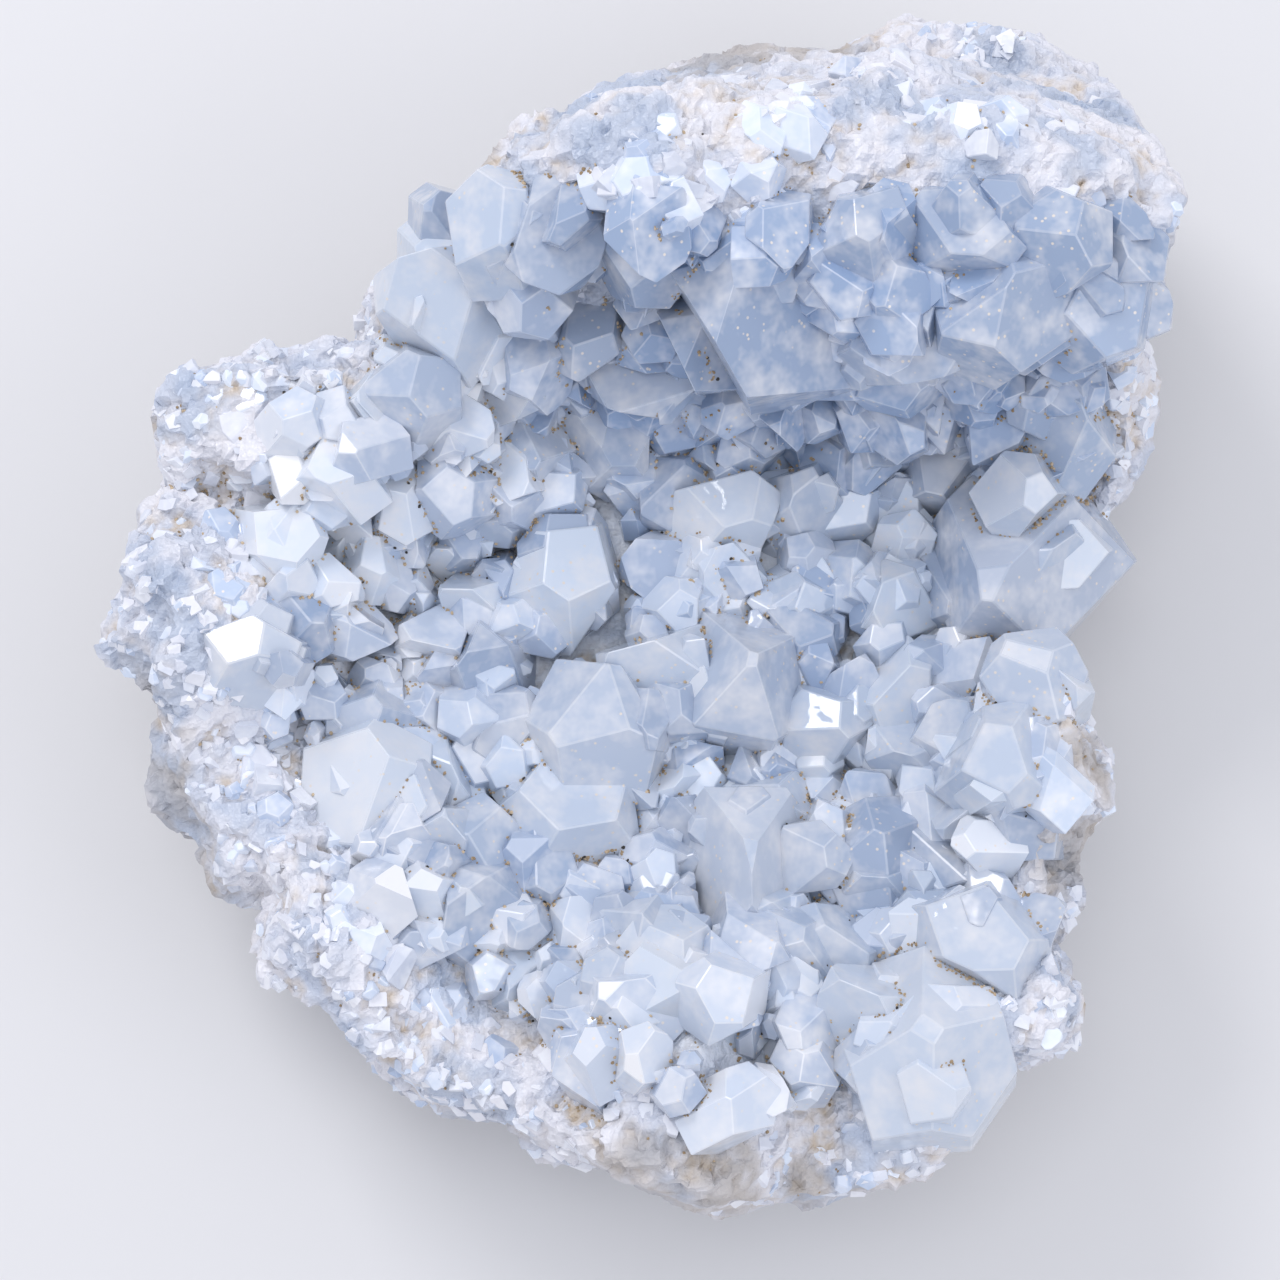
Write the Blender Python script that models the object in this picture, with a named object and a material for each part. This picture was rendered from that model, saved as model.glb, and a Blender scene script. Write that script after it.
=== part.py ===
"""A hand specimen of celestite: a broken piece of a geode, lying on its back.

Two solids. The wall is massive celestite under a thin rind, with a bowl in its top, a tall lobe
at the back and a small flat spot to rest on. The crust is the crystals that line the bowl, grown
together. Lengths are in millimetres until the last step, which makes them metres.
"""

import math
import random

import bmesh
import bpy
from mathutils import Matrix, Vector, noise

MM = 0.001

# The wall's outline from above, as (degrees, millimetres) about the middle of the bowl
BOWL_CENTRE = Vector((3.7, -2.2, 0.0))
OUTLINE = (
    (0, 37.0), (10, 41.0), (20, 50.5), (30, 56.0), (38, 62.5), (45, 69.5), (52, 73.0), (60, 75.5),
    (70, 71.5), (80, 63.5), (90, 62.5), (100, 55.5), (110, 46.5), (120, 45.0), (130, 47.5), (138, 43.5),
    (145, 40.5), (151, 56.5), (156, 57.5), (163, 55.5), (171, 58.0), (179, 51.0), (189, 53.0), (196, 54.5),
    (210, 49.0), (222, 51.5), (235, 53.5), (245, 54.0), (252, 52.5), (262, 54.5), (272, 57.5), (283, 60.0),
    (296, 59.0), (304, 55.0), (312, 47.5), (320, 49.0), (328, 44.5), (340, 45.5), (350, 40.0),
)
ROUND_STEPS = 66

# How far out each ring of the top lies, as a share of the rim
TOP_RINGS = (0.1, 0.2, 0.3, 0.4, 0.5, 0.6, 0.7, 0.79, 0.87, 0.94)
RIM_SHARE = 0.962
# Rings down the side: share of the outline, and share of the rim's height
SIDE_RINGS = ((0.985, 0.92), (1.0, 0.78), (0.985, 0.6), (0.93, 0.41), (0.82, 0.23), (0.66, 0.09), (0.42, 0.0))
# Where the flat spot lies, under the weight
FOOT_CENTRE = Vector((6.0, 5.0, 0.0))

FLOOR_HEIGHT = 24.0
RIM_RISE = 7.0
# Swellings and dips of the top: x, y, rise, half length, half width, turn in degrees, steepness
SWELLINGS = {
    "lobe": (24.5, 37.5, 31.0, 34.0, 16.0, -4.0, 2.0),
    "lobe_shoulder": (-10.0, 38.0, 15.0, 17.0, 9.0, 28.0, 1.3),
    "left_block": (-34.0, 18.0, 10.5, 17.0, 8.5, -8.0, 1.8),
    "left_lump": (-43.0, 0.5, 10.0, 12.5, 12.0, 0.0, 1.6),
    "lower_left_rim": (-32.0, -30.0, 6.0, 17.0, 8.0, -50.0, 1.2),
    "front_ridge": (4.0, -45.0, 11.0, 15.0, 10.5, 70.0, 1.3),
    "right_front": (31.0, -44.0, 8.0, 14.0, 9.0, 25.0, 1.4),
    "right_rim": (41.5, -16.0, 9.0, 15.0, 7.0, 80.0, 1.5),
    "recess": (28.0, 16.0, -4.5, 19.0, 6.0, -8.0, 1.2),
    "right_notch": (44.0, 3.0, -7.0, 8.0, 9.0, 0.0, 1.2),
    "left_furrow": (-41.0, 10.5, -6.0, 16.0, 2.6, -6.0, 1.0),
}

ROUGH_SEED = 4
LEDGE_SIZE = 10.0
ROUGH_TOP = 1.6
ROUGH_SIDE = 1.9
CLEAR_OF_GROUND = 0.8

# The crust's edge from above, as (degrees, share of the rim)
CRUST_EDGE = (
    (0, 0.9), (30, 0.82), (50, 0.58), (75, 0.55), (100, 0.6), (122, 0.86), (145, 0.8),
    (165, 0.72), (185, 0.72), (205, 0.78), (225, 0.8), (250, 0.84), (275, 0.82), (300, 0.88), (330, 0.9),
)
CRUST_RINGS = (0.2, 0.4, 0.6, 0.75, 0.9, 1.0)
CRUST_STEPS = 48
CRUST_THICK = 3.8
CRUST_EDGE_THICK = 1.6
CRUST_ROOT = 1.5
NODE_GAP = 0.5

# Celestine's cell edges, which fix the angles between its faces
CELL_A, CELL_B, CELL_C = 8.36, 5.35, 6.87

# The way a broken crystal's bright cleavage faces lie
CLEAVED_NORMAL = Vector((-0.12, 0.16, 0.98)).normalized()

# Crystals of the bowl: x and y of the tip, width, height over the wall,
# lean from upright and its heading, turn about their own length, and how much of the tip is cleaved off
BOWL_CRYSTALS = (
    (11.4, -4.7, 15.5, 14.0, 12, 60, 20, 0.12),
    (-0.3, -3.7, 12.0, 10.0, 24, 140, 50, 0),
    (-7.0, -13.2, 14.5, 11.0, 17, 200, 10, 0.2),
    (-9.8, 0.6, 12.5, 9.0, 20, 250, 75, 0),
    (-10.8, 12.8, 14.0, 9.5, 24, 300, 30, 0),
    (-3.5, 15.1, 10.0, 8.0, 32, 280, 80, 0.1),
    (8.2, 8.5, 11.0, 9.5, 12, 270, 15, 0.25),
    (-0.3, 10.8, 8.0, 7.0, 40, 220, 45, 0),
    (7.9, 14.3, 8.0, 6.5, 32, 260, 60, 0),
    (14.7, 9.1, 9.0, 8.0, 24, 240, 100, 0),
    (16.5, 4.0, 7.5, 5.5, 32, 90, 33, 0),
    (23.4, 1.3, 8.0, 7.5, 20, 180, 70, 0),
    (34.2, 1.8, 18.0, 14.0, 23, 225, 40, 0.25),
    (28.7, 12.6, 11.0, 11.0, 30, 250, 5, 0.3),
    (44.0, 16.5, 14.5, 14.0, 22, 330, 55, 0),
    (21.5, 16.5, 16.5, 10.0, 34, 265, 20, 0),
    (-15.5, 22.5, 12.0, 11.5, 23, 260, 35, 0.3),
    (-15.8, 30.0, 12.5, 8.0, 32, 300, 10, 0),
    (-22.8, 32.5, 11.5, 10.0, 28, 130, 60, 0),
    (-15.5, 36.5, 9.0, 7.0, 32, 120, 15, 0),
    (43.5, 7.5, 10.5, 11.0, 22, 10, 25, 0),
    (38.0, -7.0, 10.0, 9.0, 17, 120, 40, 0.2),
    (38.0, -15.2, 10.5, 7.5, 20, 30, 75, 0),
    (34.8, -21.0, 12.0, 8.0, 17, 200, 20, 0),
    (32.2, -27.8, 12.5, 7.0, 20, 300, 55, 0),
    (24.2, -24.4, 12.0, 9.5, 12, 90, 65, 0),
    (10.2, -26.7, 15.5, 11.0, 10, 270, 0, 0.1),
    (19.2, -34.5, 12.0, 9.0, 23, 30, 120, 0),
    (11.2, -36.2, 9.5, 4.5, 40, 210, 40, 0),
    (16.3, -41.2, 9.0, 5.0, 24, 150, 80, 0),
    (0.0, -31.2, 11.5, 11.0, 20, 100, 10, 0),
    (-6.0, -22.7, 14.5, 8.5, 17, 320, 50, 0),
    (-17.6, -25.4, 12.5, 9.0, 12, 150, 25, 0),
    (-11.8, -28.7, 10.5, 7.0, 24, 270, 60, 0),
    (-20.1, -33.2, 10.5, 6.5, 32, 220, 35, 0),
    (-27.5, -16.4, 13.0, 10.0, 20, 80, 45, 0),
    (-18.5, -16.7, 10.5, 7.5, 26, 20, 5, 0),
    (-14.6, -9.9, 8.0, 7.0, 17, 100, 85, 0.3),
    (-19.5, -6.0, 11.0, 7.5, 23, 200, 30, 0),
    (-26.5, -7.5, 10.0, 7.0, 24, 60, 70, 0),
    (-17.8, 2.0, 9.0, 7.0, 17, 160, 15, 0),
    (-40.0, -7.2, 10.0, 6.0, 12, 240, 50, 0.3),
    (-31.5, -1.0, 10.0, 6.5, 29, 340, 20, 0),
    (27.0, -15.4, 10.0, 7.5, 17, 220, 35, 0),
    (31.2, -19.5, 9.5, 4.5, 32, 130, 80, 0),
    (33.5, -12.2, 9.0, 6.5, 20, 40, 60, 0),
    (20.0, -14.4, 10.0, 7.0, 29, 300, 15, 0),
    (24.0, -7.0, 9.5, 6.5, 17, 180, 45, 0),
    (18.9, -1.0, 7.5, 6.0, 35, 10, 70, 0),
    (4.5, -12.0, 10.0, 6.0, 20, 330, 25, 0),
    (3.0, -18.5, 11.0, 6.5, 24, 120, 60, 0),
    (14.2, -18.5, 12.0, 7.0, 17, 70, 40, 0),
    (-3.0, 3.5, 8.0, 5.5, 32, 350, 10, 0),
    (27.0, -42.5, 17.5, 9.5, 12, 110, 35, 0.15),
    (36.5, -34.5, 12.0, 6.0, 24, 350, 70, 0),
    (28.0, -33.0, 8.0, 6.0, 20, 250, 20, 0),
    (17.0, -47.0, 10.0, 4.5, 17, 280, 50, 0),
    (-12.5, -38.0, 12.5, 6.5, 26, 240, 15, 0),
    (6.5, -39.5, 14.5, 7.0, 12, 20, 65, 0),
    (-3.5, -42.0, 11.0, 6.5, 20, 260, 40, 0.2),
    (-21.5, 10.0, 11.0, 7.0, 23, 310, 75, 0),
    (-22.5, 17.0, 10.5, 6.5, 29, 280, 30, 0),
    (-30.0, 6.5, 10.0, 6.0, 20, 270, 55, 0),
    (-26.0, -25.0, 10.5, 6.5, 32, 190, 10, 0),
    (-7.5, 21.5, 10.0, 7.0, 42, 260, 45, 0),
    (5.5, 20.5, 11.5, 7.0, 36, 290, 5, 0),
    (31.0, 18.5, 10.0, 7.5, 42, 240, 65, 0),
    (36.0, 15.0, 9.5, 8.0, 35, 300, 30, 0),
)

# Crystals that stand square off the lobe's inner side: x and y of the root, width, height,
# lean and its heading, turn and cleaved share
LOBE_CRYSTALS = (
    (12.5, 27.5, 21.0, 13.0, 22, 80, 40, 0),
    (1.5, 26.5, 11.0, 10.0, 10, 120, 15, 0.25),
    (-5.5, 28.0, 10.0, 8.0, 12, 240, 60, 0),
    (25.5, 25.5, 13.0, 10.0, 14, 60, 10, 0),
    (34.5, 27.0, 14.0, 10.0, 12, 80, 35, 0),
    (44.0, 27.5, 12.0, 8.0, 12, 60, 80, 0),
    (21.5, 31.0, 11.0, 6.5, 8, 90, 75, 0),
    (30.0, 31.5, 11.0, 6.5, 15, 200, 25, 0.2),
    (7.5, 32.0, 10.5, 6.5, 12, 330, 50, 0),
    (39.5, 31.5, 10.0, 6.5, 10, 60, 5, 0),
    (0.0, 32.5, 10.0, 7.0, 15, 150, 20, 0),
    (-8.0, 34.0, 10.0, 8.0, 10, 270, 70, 0),
    (47.5, 31.0, 8.0, 5.0, 16, 340, 45, 0),
    (40.5, 22.0, 9.0, 6.0, 20, 260, 50, 0),
    (12.0, 21.5, 9.0, 6.0, 14, 60, 35, 0),
)

# Angular blocks of broken celestite, sunk in the rim and the lobe's back: x, y, size and height over the wall
BROKEN_LUMPS = (
    (-33.0, 18.5, 13.0, 1.4), (-24.5, 20.5, 11.0, 1.4), (-42.0, 14.0, 12.0, 1.0), (-41.5, 3.0, 14.0, 1.2),
    (-36.0, -2.0, 12.0, 1.4), (-40.0, -9.0, 11.0, 1.0), (-35.0, -20.0, 12.0, 1.0), (-28.5, -28.0, 12.0, 1.4),
    (-21.5, -36.0, 13.0, 1.2), (-12.0, -42.5, 14.0, 1.2), (-2.0, -47.0, 14.0, 1.4), (9.0, -47.5, 15.0, 1.2),
    (21.0, -50.0, 12.0, 1.0), (33.0, -40.0, 11.0, 1.0), (34.5, -26.5, 9.0, 1.0), (34.5, -18.5, 8.0, 1.0),
    (9.0, 45.0, 12.0, 1.2), (-2.5, 42.0, 11.0, 1.0), (21.0, 45.0, 18.0, 1.8), (34.0, 43.0, 17.0, 1.8),
    (42.0, 36.0, 15.0, 1.4), (-13.0, 34.0, 12.0, 1.2), (46.0, 28.0, 11.0, 1.0), (27.0, 50.0, 14.0, 0.8),
)

WALL_COLOUR = (0.74, 0.79, 0.86)
WALL_ROUGHNESS = 0.55
CRYSTAL_COLOUR = (0.50, 0.63, 0.78)
CRYSTAL_ROUGHNESS = 0.18


def between(points, degrees):
    """The value at an angle on a closed curve given at a few angles, eased from one to the next."""
    wrapped = degrees % 360.0
    for here, there in zip(points, points[1:] + ((points[0][0] + 360, points[0][1]),)):
        if here[0] <= wrapped < there[0]:
            share = (wrapped - here[0]) / (there[0] - here[0])
            eased = share * share * (3.0 - 2.0 * share)
            return here[1] + (there[1] - here[1]) * eased
    return points[0][1]


def compass(degrees, radius):
    """A point in plan, at an angle and a distance from the middle of the bowl."""
    turn = math.radians(degrees)
    return BOWL_CENTRE + Vector((math.cos(turn), math.sin(turn), 0.0)) * radius


def wall_height(x, y):
    """How high the wall's top lies at a point in plan, without its roughness."""
    out = Vector((x, y, 0.0)) - BOWL_CENTRE
    rim = between(OUTLINE, math.degrees(math.atan2(out.y, out.x))) * RIM_SHARE
    height = FLOOR_HEIGHT + RIM_RISE * (out.length / rim) ** 3
    for mid_x, mid_y, rise, half_length, half_width, turn, steepness in SWELLINGS.values():
        angle = math.radians(turn)
        along = (x - mid_x) * math.cos(angle) + (y - mid_y) * math.sin(angle)
        across = (y - mid_y) * math.cos(angle) - (x - mid_x) * math.sin(angle)
        off = (along / half_length) ** 2 + (across / half_width) ** 2
        height += rise * math.exp(-off**steepness)
    return height


def rough(point, amount):
    """A push in all three directions that breaks a smooth surface into ledges and hollows."""
    nearest = noise.voronoi(point / LEDGE_SIZE)[1][0]
    return (noise.noise_vector(nearest * 2.7) * 1.5 + noise.noise_vector(point / LEDGE_SIZE)) * amount


def ring(mesh, points):
    return [mesh.verts.new(point) for point in points]


def skin(mesh, rings):
    """Faces between each ring of vertices and the next."""
    for inner, outer in zip(rings, rings[1:]):
        for i in range(len(inner)):
            j = (i + 1) % len(inner)
            mesh.faces.new((inner[i], outer[i], outer[j], inner[j]))


def fan(mesh, edge, middle):
    """Triangles from a ring to one vertex inside it."""
    tip = mesh.verts.new(middle)
    for i in range(len(edge)):
        mesh.faces.new((tip, edge[i], edge[(i + 1) % len(edge)]))


def wall_mesh():
    """The wall: a rough top that follows wall_height, a rounded side, and a flat to rest on."""
    mesh = bmesh.new()
    angles = [360.0 * i / ROUND_STEPS for i in range(ROUND_STEPS)]
    outline = [between(OUTLINE, a) for a in angles]
    rings = []
    for share in TOP_RINGS + (1.0,):
        points = []
        for angle, reach in zip(angles, outline):
            spot = compass(angle, reach * RIM_SHARE * share)
            spot.z = wall_height(spot.x, spot.y)
            bare = min(1.0, max(0.0, share / between(CRUST_EDGE, angle) - 0.6) / 0.6)
            points.append(spot + rough(spot, ROUGH_TOP * bare))
        rings.append(ring(mesh, points))
    for out_share, height_share in SIDE_RINGS:
        points = []
        for angle, reach in zip(angles, outline):
            rim = compass(angle, reach * RIM_SHARE)
            spot = FOOT_CENTRE + (compass(angle, reach) - FOOT_CENTRE) * out_share
            spot.z = wall_height(rim.x, rim.y) * height_share
            if height_share > 0.0:
                spot += rough(spot, ROUGH_SIDE * min(1.0, 2.0 * height_share))
                spot.z = max(spot.z, CLEAR_OF_GROUND)
            points.append(spot)
        rings.append(ring(mesh, points))
    skin(mesh, rings)
    top = BOWL_CENTRE.copy()
    top.z = wall_height(top.x, top.y)
    fan(mesh, rings[0], top)
    fan(mesh, rings[-1], FOOT_CENTRE)
    bmesh.ops.triangulate(mesh, faces=mesh.faces)
    bmesh.ops.recalc_face_normals(mesh, faces=mesh.faces)
    return mesh


def lining_mesh():
    """The crust between its crystals: a layer over the bowl, thinner at its edge, sunk into the wall."""
    mesh = bmesh.new()
    angles = [360.0 * i / CRUST_STEPS for i in range(CRUST_STEPS)]
    tops, bottoms = [], []
    for share in CRUST_RINGS:
        top_points, bottom_points = [], []
        for angle in angles:
            rim = between(OUTLINE, angle) * RIM_SHARE
            spot = compass(angle, rim * between(CRUST_EDGE, angle) * share)
            surface = wall_height(spot.x, spot.y)
            thick = CRUST_THICK + (CRUST_EDGE_THICK - CRUST_THICK) * share**4
            top_points.append((spot.x, spot.y, surface + thick))
            bottom_points.append((spot.x, spot.y, surface - CRUST_ROOT))
        tops.append(ring(mesh, top_points))
        bottoms.append(ring(mesh, bottom_points))
    skin(mesh, tops + bottoms[::-1])
    middle = wall_height(BOWL_CENTRE.x, BOWL_CENTRE.y)
    fan(mesh, tops[0], BOWL_CENTRE + Vector((0.0, 0.0, middle + CRUST_THICK)))
    fan(mesh, bottoms[0], BOWL_CENTRE + Vector((0.0, 0.0, middle - CRUST_ROOT)))
    bmesh.ops.recalc_face_normals(mesh, faces=mesh.faces)
    return mesh


def face_normal(h, k, l):
    """The direction of a celestine face from its indices, with the crystal's length along Z."""
    return Vector((k / CELL_B, l / CELL_C, h / CELL_A)).normalized()


def cut(mesh, point, normal):
    """Takes off what lies past a plane and closes the cut."""
    geometry = mesh.verts[:] + mesh.edges[:] + mesh.faces[:]
    done = bmesh.ops.bisect_plane(
        mesh, geom=geometry, dist=1e-4, plane_co=point, plane_no=normal, clear_outer=True
    )
    edges = [e for e in done["geom_cut"] if isinstance(e, bmesh.types.BMEdge)]
    if len(edges) > 2:
        bmesh.ops.contextual_create(mesh, geom=edges)
    bmesh.ops.recalc_face_normals(mesh, faces=mesh.faces)


def crystal_mesh(width, length, draw):
    """One crystal standing on the origin with its tip at +Z: a prism of celestine's steep faces under a roof."""
    mesh = bmesh.new()
    bmesh.ops.create_cube(mesh, size=1.0)
    bmesh.ops.scale(mesh, vec=(width * 1.6, width * 1.6, length), verts=mesh.verts)
    bmesh.ops.translate(mesh, vec=(0.0, 0.0, length / 2.0), verts=mesh.verts)
    half = width / 2.0
    for side_b in (-1, 1):
        for side_c in (-1, 1):
            normal = face_normal(0, side_b, side_c)
            cut(mesh, normal * half * draw.uniform(0.86, 1.08), normal)
    for side_c in (-1, 1):
        normal = face_normal(0, 0, side_c)
        cut(mesh, normal * half * draw.uniform(0.75, 1.15), normal)
    steepness = draw.choice((1, 2, 2))
    wider = draw.uniform(-0.13, 0.13)
    for side_b in (-1, 1):
        cut(mesh, Vector((0.0, 0.0, length * (0.97 + side_b * wider))), face_normal(steepness, side_b, 0))
    for side_c in (-1, 1):
        cut(mesh, Vector((0.0, 0.0, length * draw.uniform(0.86, 1.3))), face_normal(1, 0, side_c))
    return mesh


def placed(mesh, tip, axis, length, turn, cleaved):
    """Stands a crystal so that its tip is at a point, and breaks off the cleaved share of its tip."""
    stand = axis.to_track_quat("Z", "Y").to_matrix() @ Matrix.Rotation(math.radians(turn), 3, "Z")
    bmesh.ops.rotate(mesh, matrix=stand, verts=mesh.verts)
    bmesh.ops.translate(mesh, vec=tip - axis * length, verts=mesh.verts)
    if cleaved:
        cut(mesh, tip - CLEAVED_NORMAL * length * cleaved * 0.5, CLEAVED_NORMAL)
    return mesh


def wall_slope(x, y):
    """The direction that points square out of the wall's top."""
    east = wall_height(x + 1.5, y) - wall_height(x - 1.5, y)
    north = wall_height(x, y + 1.5) - wall_height(x, y - 1.5)
    return Vector((-east, -north, 3.0)).normalized()


def leaning(axis, lean, heading):
    """A direction tipped over by an angle towards a compass heading."""
    tip = Vector((math.cos(math.radians(heading)), math.sin(math.radians(heading)), 0.0))
    return (axis * math.cos(math.radians(lean)) + tip * math.sin(math.radians(lean))).normalized()


def bowl_crystals():
    """Each crystal of the bowl, rooted in the wall under its tip."""
    for number, (x, y, width, height, lean, heading, turn, cleaved) in enumerate(BOWL_CRYSTALS):
        axis = leaning(Vector((0.0, 0.0, 1.0)), lean, heading)
        length = height / axis.z + width * 0.35
        mesh = crystal_mesh(width, length, random.Random(100 + number))
        yield placed(mesh, Vector((x, y, wall_height(x, y) + height)), axis, length, turn, cleaved)


def lobe_crystals():
    """Each crystal that reaches out from the lobe's inner side."""
    for number, (x, y, width, height, lean, heading, turn, cleaved) in enumerate(LOBE_CRYSTALS):
        axis = leaning(wall_slope(x, y), lean, heading)
        root = Vector((x, y, wall_height(x, y)))
        length = height + width * 0.4
        mesh = crystal_mesh(width, length, random.Random(500 + number))
        yield placed(mesh, root + axis * height, axis, length, turn, cleaved)


def broken_lumps():
    """Blocks of broken celestite, sunk into the wall at odd angles."""
    for number, (x, y, size, height) in enumerate(BROKEN_LUMPS):
        draw = random.Random(900 + number)
        mesh = crystal_mesh(size, size * 1.1, draw)
        axis = leaning(wall_slope(x, y), draw.uniform(5, 35), draw.uniform(0, 360))
        tip = Vector((x, y, wall_height(x, y))) + axis * height
        yield placed(mesh, tip, axis, size * 1.1, draw.uniform(0, 180), 0)


def baked(thing):
    """The mesh of an object with its modifiers done, as a bmesh."""
    mesh = bmesh.new()
    mesh.from_object(thing, bpy.context.evaluated_depsgraph_get())
    return mesh


def object_of(name, mesh):
    """An object in the scene from a bmesh, which it uses up."""
    data = bpy.data.meshes.new(name)
    mesh.to_mesh(data)
    mesh.free()
    made = bpy.data.objects.new(name, data)
    bpy.context.scene.collection.objects.link(made)
    return made


def boolean(body, operation, shapes):
    """One mesh joined with, or cut by, many others in one exact Boolean."""
    group = bpy.data.collections.new("shapes")
    bpy.context.scene.collection.children.link(group)
    for shape in shapes:
        helper = object_of("helper", shape)
        bpy.context.scene.collection.objects.unlink(helper)
        group.objects.link(helper)
    target = object_of("target", body)
    modifier = target.modifiers.new(operation, "BOOLEAN")
    modifier.operation = operation
    modifier.solver = "EXACT"
    modifier.use_self = operation == "DIFFERENCE"
    modifier.operand_type = "COLLECTION"
    modifier.collection = group
    done = baked(target)
    for helper in list(group.objects) + [target]:
        bpy.data.objects.remove(helper)
    bpy.data.collections.remove(group)
    return done


def pushed_out(mesh, distance):
    """A copy of a mesh with every face moved out by a distance."""
    copy = mesh.copy()
    copy.normal_update()
    for vertex, push in [(v, v.normal * v.calc_shell_factor() * distance) for v in copy.verts]:
        vertex.co += push
    return copy


def largest_piece(mesh):
    """Drops all but the largest of the pieces that a Boolean left."""
    left = set(mesh.verts)
    pieces = []
    while left:
        piece = [left.pop()]
        for vertex in piece:
            near = {e.other_vert(vertex) for e in vertex.link_edges} & left
            left -= near
            piece.extend(near)
        pieces.append(piece)
    pieces.sort(key=len)
    for piece in pieces[:-1]:
        bmesh.ops.delete(mesh, geom=piece, context="VERTS")
    return mesh


def set_on_origin(wall, crust):
    """Moves both meshes so that the whole stands on the ground, centred on the origin."""
    corners = [v.co for mesh in (wall, crust) for v in mesh.verts]
    low = Vector([min(c[i] for c in corners) for i in range(3)])
    high = Vector([max(c[i] for c in corners) for i in range(3)])
    middle = (low + high) / 2.0
    for mesh in (wall, crust):
        bmesh.ops.translate(mesh, vec=(-middle.x, -middle.y, -low.z), verts=mesh.verts)


def celestite(name, colour, roughness):
    """The material of a sub-part."""
    material = bpy.data.materials.new(name)
    material.use_nodes = True
    shader = material.node_tree.nodes["Principled BSDF"]
    shader.inputs["Base Color"].default_value = (*colour, 1.0)
    shader.inputs["Roughness"].default_value = roughness
    shader.inputs["Metallic"].default_value = 0.0
    return material


def finish(name, mesh, material):
    """A sub-part's object: its mesh brought from millimetres to metres, with its material."""
    bmesh.ops.scale(mesh, vec=(MM, MM, MM), verts=mesh.verts)
    made = object_of(name, mesh)
    made.data.materials.append(material)


def main():
    for old in list(bpy.data.objects):
        bpy.data.objects.remove(old)
    noise.seed_set(ROUGH_SEED)
    wall = boolean(wall_mesh(), "UNION", broken_lumps())
    crystals = list(bowl_crystals()) + list(lobe_crystals())
    crust = boolean(lining_mesh(), "UNION", crystals)
    swollen_lumps = [pushed_out(lump, NODE_GAP) for lump in broken_lumps()]
    swollen_wall = boolean(pushed_out(wall_mesh(), NODE_GAP), "UNION", swollen_lumps)
    crust = largest_piece(boolean(crust, "DIFFERENCE", [swollen_wall]))
    set_on_origin(wall, crust)
    finish("geode_wall", wall, celestite("wall", WALL_COLOUR, WALL_ROUGHNESS))
    finish("crystal_crust", crust, celestite("crystals", CRYSTAL_COLOUR, CRYSTAL_ROUGHNESS))


main()
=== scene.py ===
"""The look of a celestite geode piece lying on its back: sugary white rock with a dirty rind, and a
bowl and a tall lobe lined with milky blue crystals that grew together.

Lengths are in millimetres until a piece is finished, which makes them metres. The floor, the lamps and
the camera's distance are in metres from the start.
"""

import math
import random

import bmesh
import bpy
from mathutils import Matrix, Vector, noise
from mathutils.bvhtree import BVHTree


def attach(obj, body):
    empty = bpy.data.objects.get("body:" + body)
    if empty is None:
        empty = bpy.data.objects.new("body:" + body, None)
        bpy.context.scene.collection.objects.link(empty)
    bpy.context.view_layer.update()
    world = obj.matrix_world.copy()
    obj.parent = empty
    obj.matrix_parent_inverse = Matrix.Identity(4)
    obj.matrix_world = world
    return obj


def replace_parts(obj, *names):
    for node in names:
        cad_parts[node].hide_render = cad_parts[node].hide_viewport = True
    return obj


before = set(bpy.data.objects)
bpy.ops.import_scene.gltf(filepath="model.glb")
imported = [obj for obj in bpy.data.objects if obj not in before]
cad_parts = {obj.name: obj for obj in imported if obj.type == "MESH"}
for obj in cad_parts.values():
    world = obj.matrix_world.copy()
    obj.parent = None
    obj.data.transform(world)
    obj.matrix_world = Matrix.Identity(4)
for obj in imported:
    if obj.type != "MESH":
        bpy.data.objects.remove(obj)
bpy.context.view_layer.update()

MM = 0.001
# From the bowl's own coordinates to the frame's, in millimetres
SET_DOWN = Vector((0.747, -1.97, 0.0))

BOWL_CENTRE = Vector((3.7, -2.2, 0.0))
# The wall's outline from above, as (degrees, millimetres) about the middle of the bowl
OUTLINE = (
    (0, 37.0), (10, 41.0), (20, 50.5), (30, 56.0), (38, 62.5), (45, 69.5), (52, 73.0), (60, 75.5),
    (70, 71.5), (80, 63.5), (90, 62.5), (100, 55.5), (110, 46.5), (120, 45.0), (130, 47.5), (138, 43.5),
    (145, 40.5), (151, 56.5), (156, 57.5), (163, 55.5), (171, 58.0), (179, 51.0), (189, 53.0), (196, 54.5),
    (210, 49.0), (222, 51.5), (235, 53.5), (245, 54.0), (252, 52.5), (262, 54.5), (272, 57.5), (283, 60.0),
    (296, 59.0), (304, 55.0), (312, 47.5), (320, 49.0), (328, 44.5), (340, 45.5), (350, 40.0),
)
# The rim as a share of the outline, the height of the bowl's floor, and how far the rim rises over it
RIM_SHARE = 0.962
FLOOR_HEIGHT = 24.0
RIM_RISE = 7.0

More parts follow.
